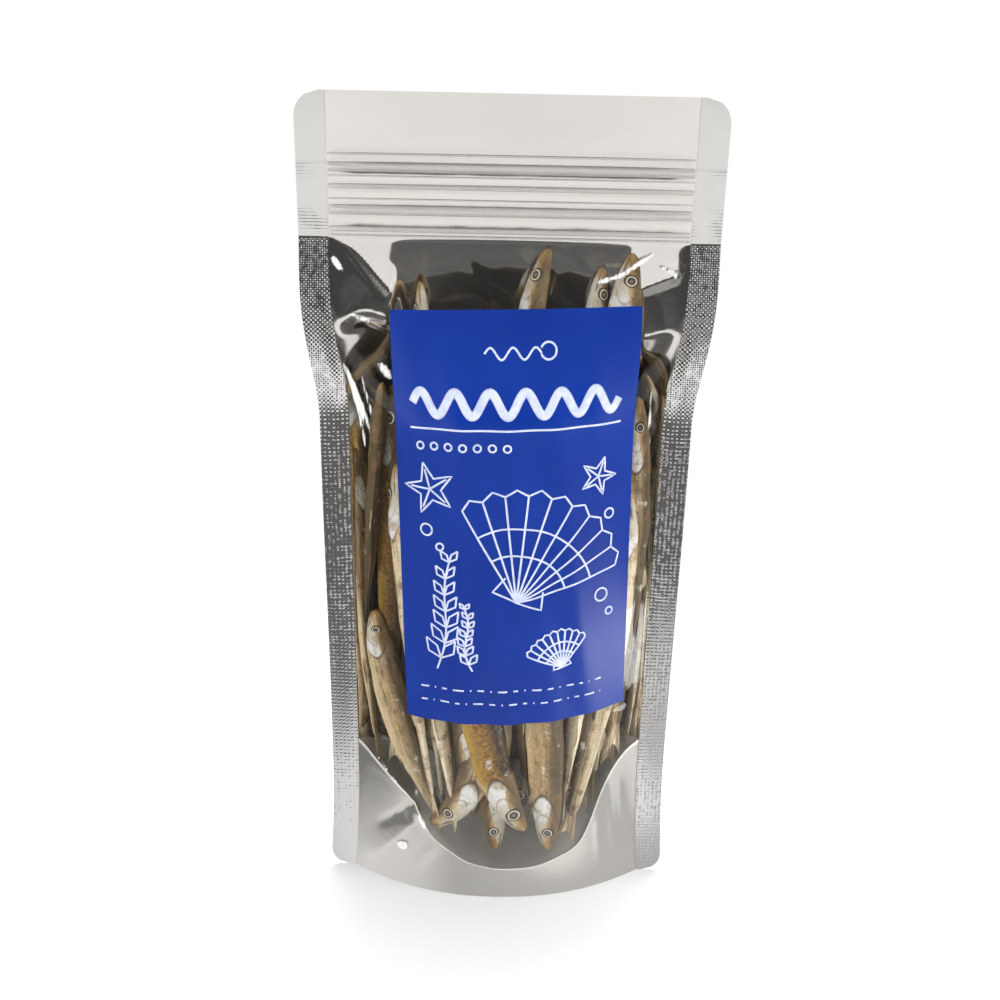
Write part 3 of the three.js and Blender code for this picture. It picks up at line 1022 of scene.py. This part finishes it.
dice = np.random.default_rng(38)
bodies, eyes, fins = [], [], []
for spine, roll, tone, size in FISH:
    local = points_of(master_body)
    shape = dice.uniform(0, 2 * np.pi, 6)
    share = local[:, 0] / FISH_LENGTH
    lumps = 0.06 * np.sin(9 * share * np.pi + shape[0]) + 0.04 * np.sin(21 * share + shape[1])
    side_angle = np.arctan2(local[:, 2], local[:, 1])
    lumps = lumps + 0.05 * np.sin(5 * side_angle + 6 * share + shape[2])
    local[:, 1] *= 1 + lumps * smooth(0.2, 0.4, share)
    twist = (0.25 * np.sin(3 * share + shape[3])) * smooth(0.2, 0.6, share)
    local[:, 1], local[:, 2] = (
        local[:, 1] * np.cos(twist) - local[:, 2] * np.sin(twist),
        local[:, 1] * np.sin(twist) + local[:, 2] * np.cos(twist),
    )
    body = copy_of(master_body)
    move_points(body, *bend(local, spine, roll, size))
    marks = skin_marks.copy()
    marks[:, 0], marks[:, 2] = dice.uniform(0, 1), tone
    body.data.color_attributes["skin"].data.foreach_set("color", marks.ravel())
    bodies.append(body)
    for flank in (-1, 1):
        eye = copy_of(master_eye)
        local = eye_points * (0.66 + 0.22 * min(tone, 1) ** 3)
        local += (EYE_AT * FISH_LENGTH, flank * eye_out, EYE_HEIGHT)
        move_points(eye, *bend(local, spine, roll, size))
        eyes.append(eye)
    for shape_points in FIN_SHAPES:
        fin = copy_of(master_fin)
        move_points(fin, *bend(shape_points, spine, roll, size))
        fins.append(fin)
for master in (master_body, master_eye, master_fin):
    bpy.data.objects.remove(master)
smelt_bodies = join("smelt_bodies", bodies)
smelt_bodies.data.shade_smooth()
smelt_eyes = join("smelt_eyes", eyes)
smelt_eyes.data.shade_smooth()
smelt_fins = join("smelt_fins", fins)
face_outwards(smelt_bodies)
face_outwards(smelt_eyes)
give_thickness(smelt_fins, FIN_THICKNESS)

skin_look, nodes, links = new_material("dried_fish_skin")
marks = add_node("ShaderNodeAttribute", attribute_name="skin")
run_share = marks.outputs["Alpha"]
chance, flank, tone = add_node("ShaderNodeSeparateColor", Color=marks.outputs["Color"]).outputs
flow = add_node("ShaderNodeCombineXYZ", X=run_share, Y=flank, Z=chance).outputs[0]
folds = noise(stretched(flow, (7, 7, 40)), 1.5, 6, Roughness=0.68, Distortion=0.5)
scale_rows = noise(stretched(flow, (105, 5, 40)), 1.5, 3, Roughness=0.6)
place = object_place()
blotches = noise(place, 240, 5, Roughness=0.65)

# The body is straw or gold by its tone and pale on the belly. It is darker in its folds, painted shade
# in the hollows of the
# wrinkles, and dark along its back: partly the fish's own dark back, partly painted shade on its shaded
# side.
straw_or_gold = mix_colour(tone, (0.88, 0.77, 0.53), (0.34, 0.17, 0.004))
tan = mix_colour(spread(scale_rows, 0.45, 0.66, 0, 0.8), straw_or_gold, (0.42, 0.25, 0.07))
fold_shade = times(spread(folds, 0.5, 0.36), spread(tone, 0, 1, 1, 0.6))
folded = mix_colour(fold_shade, tan, (0.1, 0.065, 0.03))
banded = times(spread(scale_rows, 0.52, 0.4), tone)
folded = mix_colour(times(banded, 0.85), folded, (0.1, 0.05, 0.012))
ridge_tone = mix_colour(tone, (0.84, 0.76, 0.6), (0.4, 0.24, 0.06))
ridged = mix_colour(spread(folds, 0.58, 0.7, 0, 0.7), folded, ridge_tone)
# Dark back: partly the fish's own colour, partly painted shade, near black on the gold fish.
back_and_shade_tone = mix_colour(spread(tone, 0.82, 1), (0.09, 0.065, 0.03), (0.025, 0.016, 0.008))
uneven_back = times(minus(folds, 0.5), 0.5)
towards_back = plus(flank, uneven_back)
dark_back_and_shade = mix_colour(spread(towards_back, 0.54, 0.78, 0, 0.94), ridged, back_and_shade_tone)
belly_tone = mix_colour(tone, (0.82, 0.76, 0.6), (0.48, 0.29, 0.03))
belly_pale = mix_colour(spread(flank, 0.36, 0.06, 0, 0.8), dark_back_and_shade, belly_tone)
blotched = mix_colour(spread(blotches, 0.54, 0.66, 0, 0.75), belly_pale, (0.2, 0.1, 0.04))
flecked = mix_colour(spread(blotches, 0.4, 0.32, 0, 0.7), blotched, (0.75, 0.72, 0.66))
# On the head: a dark crown and snout tip, a mouth line, and a silver gill cover and lower jaw.
# Dark lines along the gill cover's back edge and its plate are painted shade.
tall = minus(times(flank, 2), 1)
in_head = spread(run_share, 0.215, 0.195)
head_tone = mix_colour(spread(blotches, 0.42, 0.6), (0.58, 0.44, 0.22), (0.28, 0.16, 0.06))
head = mix_colour(times(in_head, 0.7), flecked, head_tone)
crown = times(in_head, spread(tall, 0.22, 0.5, 0, 0.8))
crowned = mix_colour(crown, head, (0.13, 0.085, 0.04))
tipped = mix_colour(spread(run_share, 0.05, 0, 0, 0.7), crowned, (0.42, 0.24, 0.07))
from_middle = plus(tall, 0.15)
gill_curve = times(times(from_middle, from_middle), -GILL_CURVE)
before_edge = minus(plus(gill_curve, GILL_EDGE + 0.008), run_share)
wobble = times(minus(blotches, 0.5), 0.9)
below_line = minus(plus(times(run_share, 4.1), wobble), tall)
silver_share = times(spread(before_edge, 0, 0.005), spread(below_line, 0.36, 0.5))
silver_share = times(silver_share, spread(run_share, 0.02, 0.05))
silver_tone = mix_colour(spread(blotches, 0.48, 0.66), (0.93, 0.94, 0.93), (0.52, 0.44, 0.3))
jaw_tone = mix_colour(spread(run_share, 0.145, 0.11, 0, 0.7), silver_tone, (0.62, 0.55, 0.4))
silvered = mix_colour(silver_share, tipped, jaw_tone)
# Painted shade: dark lines in the groove at the gill cover's back edge and along its plate, joined
# below with the mouth's dark line.
off_edge = maths("ABSOLUTE", before_edge)
off_plate = maths("ABSOLUTE", minus(before_edge, 0.062))
lines = plus(spread(off_edge, 0.009, 0.002), spread(off_plate, 0.006, 0.001, 0, 0.5))
lines = times(lines, spread(maths("ABSOLUTE", tall), 0.95, 0.7))
mouth_off = maths("ABSOLUTE", plus(plus(tall, 0.5), times(run_share, 3)))
mouth = times(spread(mouth_off, 0.13, 0.05), spread(run_share, 0.08, 0.065))
shade_and_mouth_lines = times(maths("MAXIMUM", lines, mouth), 0.75)
head_done = mix_colour(shade_and_mouth_lines, silvered, (0.07, 0.04, 0.02))
# Painted shade: a tone above 1 darkens the whole fish towards black.
painted_deep_shade = mix_colour(spread(tone, 1, 1.6, 0, 0.85), head_done, (0.05, 0.03, 0.015))
crinkle = bump(folds, 0.9, 0.8 * MM)
row_bump = bump(scale_rows, 0.8, 0.4 * MM, Normal=crinkle)
skin_shader = principled(
    Base_Color=painted_deep_shade,
    Roughness=spread(silver_share, 0, 1, 0.42, 0.24),
    Metallic=times(silver_share, 0.3),
    Subsurface_Weight=0.12,
    Subsurface_Scale=1.5 * MM,
    Coat_Weight=0.35,
    Coat_Roughness=0.25,
    Normal=bump(blotches, 0.5, 0.3 * MM, Normal=row_bump),
)
dress(smelt_bodies, skin_look, skin_shader)

# The eye's rings, from a grey pupil to its pale rim, and a dark edge painted as the shadow of its
# socket.
EYE_RINGS = (
    (0, (0.2, 0.19, 0.17)),
    (0.3, (0.1, 0.09, 0.08)),
    (0.4, (0.03, 0.028, 0.022)),
    (0.52, (0.05, 0.04, 0.03)),
    (0.57, (0.55, 0.51, 0.4)),
    (0.7, (0.6, 0.55, 0.42)),
    (0.76, (0.06, 0.045, 0.03)),
    (1, (0.1, 0.07, 0.04)),
)
eye_look, nodes, links = new_material("fish_eye")
rings = add_node("ShaderNodeAttribute", attribute_name="ring").outputs["Color"]
eye_shader = principled(Base_Color=ramp(rings, EYE_RINGS), Roughness=0.22, Coat_Weight=0.5)
dress(smelt_eyes, eye_look, eye_shader)

fin_look, nodes, links = new_material("dried_fin")
across_rays = add_node("ShaderNodeTexCoord").outputs["UV"]
fin_rays = spread(noise(stretched(across_rays, (16, 1.5, 1)), 1, 3), 0.38, 0.62)
fin_shader = principled(
    Base_Color=mix_colour(fin_rays, (0.3, 0.22, 0.12), (0.72, 0.62, 0.43)),
    Roughness=0.5,
    Subsurface_Weight=0.2,
    Subsurface_Scale=1 * MM,
)
dress(smelt_fins, fin_look, fin_shader)
for piece in (smelt_bodies, smelt_eyes, smelt_fins):
    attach(piece, "root")
    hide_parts("pouch")

# The front film: clear, stiff and glossy, welded at the sides. It creases where the flat header
# turns into the round belly, and a fine ridge shows where the base fold is welded to it.
# Painted highlights on the film: white streaks along these lines, each its two ends and half width in
# mm, and its whiteness.
PAINTED_HIGHLIGHT_LINES = (
    (24, 199.8, 33, 202.4, 1.7, 1.05),
    (31, 201.6, 42, 208.6, 1.7, 1.05),
    (-51, 206, -47, 201, 2.0, 1.1),
    (-46, 190, -38, 188, 1.8, 1.0),
    (-38, 178, -33, 173, 3.0, 1.1),
    (-51, 177, -42, 156, 2.6, 1.1),
    (-49, 170, -44, 150, 2.0, 1.0),
    (-45, 176, -41, 160, 1.8, 0.9),
    (42, 205, 50, 201, 2.0, 1.0),
    (-28, 36, -46, 50, 1.6, 0.9),
    (-27, 33, -23, 25, 2.6, 1.0),
    (44, 176, 47, 150, 1.8, 0.8),
)
FILM_OVERLAP = 1.2 * MM
FILM_TUCK = 0.2 * MM
RIDGE_HEIGHT = 0.32 * MM
RIDGE_HALF = 0.5 * MM
SPOT_RADIUS = 2.2 * MM
SPOT_HEIGHT = 0.25 * MM
SPOT_RING_HALF = 0.6 * MM
SPOT_WHITE = 1.6
SPOT_FADE = 2.4 * MM


def from_spot(along, z):
    return np.hypot(along - SPOT_WELD[0], z - SPOT_WELD[1])


def weld_ridge(along, z):
    """Height of the fine ridge along the base fold's weld, and round the spot weld."""
    near = np.abs(z - weld_at(along)) / np.sqrt(1 + weld_slope(along) ** 2)
    ridge = RIDGE_HEIGHT * np.exp(-((near / RIDGE_HALF) ** 2))
    near_ring = (from_spot(along, z) - SPOT_RADIUS) / SPOT_RING_HALF
    return ridge + SPOT_HEIGHT * np.exp(-(near_ring**2))


film_width = 2 * HALF_WINDOW + 2 * FILM_OVERLAP
front_film, along, z = flat_panel("front_film", film_width, POUCH_HEIGHT, 118, 278)
tucked = np.where(np.abs(along) > HALF_WINDOW, FILM_TUCK, 0)
x, y = film_place(along, z, -1)
y = y - front_relief(along, z) + tucked
y = y - off_seals(along) * weld_ridge(along, z)
move_points(front_film, x, y, z)
# Painted highlights along the crease lines, and a white patch round the spot weld, kept for the
# material.
painted_white_share = np.maximum(0, creases(along, z, PAINTED_HIGHLIGHT_LINES) / MM) ** 0.67
painted_white_share = np.maximum(painted_white_share, SPOT_WHITE - from_spot(along, z) / SPOT_FADE)
mark(front_film, "highlight_and_spot_white", np.repeat(painted_white_share, 4))
face_outwards(front_film)
give_thickness(front_film, FILM_THICKNESS)

# Each skin of the film mirrors only from outside. White is painted in fine streaks along the crease
# lines as painted highlights, and a white patch is painted round the spot weld.
film_look, nodes, links = new_material("clear_film")
place = object_place()
ripples = bump(noise(place, 90), 0.2, 0.4 * MM)
through = add_node("ShaderNodeBsdfTransparent", Color=(0.985, 0.98, 0.972, 1)).outputs[0]
gloss = add_node("ShaderNodeBsdfAnisotropic", Roughness=0.05, Color=WHITE, Normal=ripples).outputs[0]
glancing = add_node("ShaderNodeFresnel", IOR=1.5, Normal=ripples).outputs[0]
inner_face = add_node("ShaderNodeNewGeometry").outputs["Backfacing"]
clear = mix_shaders(minus(glancing, inner_face, clamp=True), through, gloss)
highlight_and_spot = add_node("ShaderNodeAttribute", attribute_name="highlight_and_spot_white").outputs["Fac"]
streaks = spread(noise(stretched(place, (1, 1, 0.22)), 900), 0.3, 0.7, -0.16, 0.13)
whiteness = spread(plus(highlight_and_spot, streaks), 0.6, 0.9, 0, 0.8)
painted_white = principled(Roughness=0.3, Base_Color=(0.92, 0.92, 0.9, 1))
dress(front_film, film_look, mix_shaders(whiteness, clear, painted_white))
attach(front_film, "root")
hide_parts("pouch")

# The zip: rails of clear plastic between film and foil. Two tracks press together, a thin guide
# rib runs under each, and the welded edges of the zip's strip show as fine lines.
# Each rail: its height on the pouch and half width in mm, and how much of the gap it fills.
ZIP_RAILS = (
    (230, 1.3, 1.0), (224.8, 0.65, 0.6), (218.4, 1.35, 0.8), (213.1, 0.75, 0.6),
    (233.5, 0.28, 0.3), (227.6, 0.22, 0.25), (221.4, 0.22, 0.25), (211.4, 0.28, 0.3),
)
RAIL_SHORT = 0.3 * MM
RAIL_CLEARANCE = 0.15 * MM
RAIL_END = 0.3


def zip_rail(middle, half, fill):
    """A rail along the zip, from weld to weld, flattened at both ends."""
    piece, points, from_pole = ball("zip_rail", 14, 72)
    full = np.minimum(1, 60 * np.clip(from_pole * (1 - from_pole), 0, 1))
    along_share = np.sin((from_pole - 0.5) * np.pi)
    along = along_share * (HALF_WINDOW - RAIL_SHORT)
    inwards, upwards = round_section(points)
    z = middle * MM + upwards * half * MM * full
    x, y = film_place(along, np.full(len(z), middle * MM), -1)
    flattened = 0.3 + 0.7 * smooth(0, RAIL_END, 1 - np.abs(along_share))
    gap = (set_back(z) - y - RAIL_CLEARANCE) * fill * flattened
    move_points(piece, x, set_back(z) + inwards * gap * full, z)
    return piece


zip_rails = join("zip_rails", [zip_rail(*rail) for rail in ZIP_RAILS])
face_outwards(zip_rails)
zip_rails.data.shade_smooth()

zip_look, nodes, links = new_material("clear_zip_plastic")
place = object_place()
milky = principled(
    Base_Color=(0.83, 0.82, 0.8, 1),
    Metallic=0.35,
    Roughness=0.16,
    Alpha=spread(noise(place, 45), 0, 1, 0.45, 0.65),
)
dress(zip_rails, zip_look, milky)
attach(zip_rails, "root")
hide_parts("pouch")

# The label: a glossy paper sticker, printed solid blue, stuck by hand on the filled pouch, so it
# is a little askew and follows the film.
LABEL_OUT = 0.45 * MM
LABEL_THICKNESS = 0.14 * MM


def on_label(across, up, out):
    """Places points of the flat label, measured from its middle, on the front film."""
    along = LABEL_OFFSET + across * math.cos(LABEL_TURN) - up * math.sin(LABEL_TURN)
    z = LABEL_MIDDLE + across * math.sin(LABEL_TURN) + up * math.cos(LABEL_TURN)
    x, y = film_place(along, z, -1, LABEL_OUT)
    return x, y - out, z


label_sheet, across, up = flat_panel("label_sheet", LABEL_WIDTH, LABEL_HEIGHT, 48, 82)
move_points(label_sheet, *on_label(across, up - LABEL_HEIGHT / 2, 0))
face_outwards(label_sheet)
give_thickness(label_sheet, LABEL_THICKNESS)

label_look, nodes, links = new_material("blue_label")
place = object_place()
mottle = spread(noise(place, 35), 0.35, 0.65)
ink_shader = principled(
    Base_Color=mix_colour(mottle, (0.0005, 0.023, 0.225), (0.0015, 0.029, 0.265)),
    Roughness=0.3,
    Specular_IOR_Level=0.4,
    Normal=bump(noise(place, 700, 4, Roughness=0.7), 0.08, 0.1 * MM),
)
dress(label_sheet, label_look, ink_shader)
adhesive, nodes, links = new_material("adhesive_side")
place = object_place()
paper_white = mix_colour(noise(place, 300, 4), (0.5, 0.49, 0.46), (0.66, 0.65, 0.62))
dress(label_sheet, adhesive, principled(Base_Color=paper_white, Roughness=0.6))
# The faces that look back at the film show the glued side.
for face in label_sheet.data.polygons:
    face.material_index = 1 if face.normal.y > 0.3 else 0
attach(label_sheet, "root")
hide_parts("label")

# The print: white ink in plain seaside motifs, drawn as lines in mm from the label's middle. A
# band of waves over a rule, scallop shells, starfish, seaweed, bubbles, and rows of dashes.
THIN_STROKE = 0.3
BOLD_STROKE = 1.25
STROKE_STEP = 1.5
INK_HEIGHT = 0.1 * MM
INK_RELIEF = 0.05 * MM
ROW_DASHES = (2.6, 0.4, 1.6, 3.4, 0.4, 2, 0.4, 2.8, 1.4, 0.4, 3, 1.8, 0.4, 2.4, 1.2, 0.4, 2.2)
DASH_GAP = 1.9


def at_angle(centre, reach, degrees):
    angle = math.radians(degrees)
    return (centre[0] + reach * math.cos(angle), centre[1] + reach * math.sin(angle))


def arc(centre, radius, start, end, steps=24):
    return [at_angle(centre, radius, degrees) for degrees in np.linspace(start, end, steps)]


def turned(lines, centre, degrees):
    c, s = math.cos(math.radians(degrees)), math.sin(math.radians(degrees))
    out = []
    for line in lines:
        offs = [(across - centre[0], up - centre[1]) for across, up in line]
        out.append([(centre[0] + dx * c - dy * s, centre[1] + dx * s + dy * c) for dx, dy in offs])
    return out


def wave(start, end, up, height, turns, steps=60):
    shares = np.linspace(0, 1, steps)
    heights = up + height * np.sin(math.tau * turns * shares)
    return list(zip(start + (end - start) * shares, heights))


def scallop(centre, size, degrees):
    """A fan shell: ribs from the hinge to a scalloped rim, and two ears."""
    hinge = (centre[0], centre[1] - 0.55 * size)
    ribs = 9
    tips = []
    for i in range(ribs + 1):
        angle = 38 + 104 * i / ribs
        reach = size * (1.02 + 0.1 * math.sin(math.radians(angle)))
        tips.append(at_angle(hinge, reach, angle))
    lines = [[hinge, tip] for tip in tips]
    for first, last in zip(tips, tips[1:]):
        middle = ((first[0] + last[0]) / 2, (first[1] + last[1]) / 2)
        away = (middle[0] - hinge[0], middle[1] - hinge[1])
        reach = math.hypot(*away)
        crown = (middle[0] + away[0] / reach * 0.07 * size, middle[1] + away[1] / reach * 0.07 * size)
        lines.append([first, crown, last])
    for reach in (0.5, 0.78):
        lines.append(arc(hinge, reach * size, 38, 142))
    for hand in (-1, 1):
        low_corner = (hinge[0] + hand * 0.26 * size, hinge[1] + 0.02 * size)
        high_corner = (hinge[0] + hand * 0.2 * size, hinge[1] + 0.2 * size)
        lines.append([hinge, low_corner, high_corner])
    return turned(lines, centre, degrees)


def starfish(centre, size, degrees):
    rim = [at_angle(centre, size if i % 2 == 0 else 0.42 * size, 90 + 36 * i) for i in range(10)]
    lines = [rim + rim[:1]]
    for tip in rim[::2]:
        inner = (centre[0] * 0.25 + tip[0] * 0.75, centre[1] * 0.25 + tip[1] * 0.75)
        lines.append([centre, inner])
    return turned(lines, centre, degrees)


def seaweed(root, height, lean, hand):
    """A stem that sways, with leaves on both sides."""
    joints = 29
    stem = []
    for i in range(joints + 1):
        t = i / joints
        stem.append((root[0] + lean * t + hand * 1.3 * math.sin(6 * t), root[1] + height * t))
    lines = [stem]
    for i in range(3, 28, 4):
        for side in (-1, 1):
            base = stem[i]
            leaf = 0.17 * height * (1 - 0.5 * i / joints)
            tip = (base[0] + side * leaf * 0.75, base[1] + leaf)
            lines.append([base, (base[0] + side * leaf * 0.65, base[1] + leaf * 0.3), tip])
            lines.append([base, (base[0] + side * leaf * 0.2, base[1] + leaf * 0.65), tip])
    return lines


bold_lines = [wave(-30, 30, 38.2, 3.1, 6, 150)]
thin_lines = [wave(-9, 7, 51, 1.5, 2.5), arc((9, 51.6), 2.2, 200, 520)]
thin_lines.append([(-31 + 62 * i / 40, 31.3) for i in range(41)])
for i in range(7):
    thin_lines.append(arc((-28 + 4.2 * i, 26.3), 1.05, 0, 360, 12))
thin_lines += scallop((6, -6), 30, -24)
thin_lines += starfish((-25.5, 13.5), 8, 14)
thin_lines += starfish((24, 16), 6, -20)
thin_lines += seaweed((-25, -44), 38, 6, 1)
thin_lines += seaweed((-14, -44), 22, -3, -1)
thin_lines += scallop((12, -38), 11, 14)
for across, up, radius in ((-27, 1, 1.8), (-23, -4, 1.1), (28, 4, 1.5), (26, -22, 2.1), (29, -28, 1.2)):
    thin_lines.append(arc((across, up), radius, 0, 360, 16))
for up, shift in ((-50.5, 0), (-55, 5)):
    across = -30.5
    for i in range(len(ROW_DASHES)):
        dash = ROW_DASHES[(i + shift) % len(ROW_DASHES)]
        if across + dash > 30:
            break
        thin_lines.append([(across, up), (across + dash, up)])
        across += dash + DASH_GAP


def printed(name, lines, half_width):
    """Lines of ink: round strokes along each line, pressed flat and laid on the label."""
    curve = bpy.data.curves.new(name, "CURVE")
    curve.dimensions = "3D"
    curve.bevel_depth = half_width * MM
    curve.bevel_resolution = 1
    curve.use_fill_caps = True
    for line in lines:
        fine = [line[0]]
        for first, last in zip(line, line[1:]):
            pieces = max(1, math.ceil(math.dist(first, last) / STROKE_STEP))
            for i in range(1, pieces + 1):
                t = i / pieces
                fine.append((first[0] + (last[0] - first[0]) * t, first[1] + (last[1] - first[1]) * t))
        spline = curve.splines.new("POLY")
        spline.points.add(len(fine) - 1)
        for point, (across, up) in zip(spline.points, fine):
            point.co = (across * MM, up * MM, 0, 1)
    piece = bpy.data.objects.new(name, curve)
    scene.collection.objects.link(piece)
    choose(piece)
    bpy.ops.object.convert(target="MESH")
    piece = bpy.context.object
    edit_all(piece, bpy.ops.mesh.remove_doubles, threshold=0.001 * MM)
    across, up, out = points_of(piece).T
    ink_height = INK_HEIGHT + out / (half_width * MM) * INK_RELIEF
    move_points(piece, *on_label(across, up, ink_height))
    return piece


strokes = [printed("fine", thin_lines, THIN_STROKE), printed("bold", bold_lines, BOLD_STROKE)]
label_print = join("label_print", strokes)
face_outwards(label_print)
label_print.data.shade_smooth()

white_ink, nodes, links = new_material("white_ink")
place = object_place()
cover = spread(noise(place, 420, 3), 0.3, 0.6)
ink = mix_colour(cover, (0.46, 0.52, 0.72), (0.6, 0.64, 0.78))
dress(label_print, white_ink, principled(Base_Color=ink, Roughness=0.45))
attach(label_print, "root")
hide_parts("label")
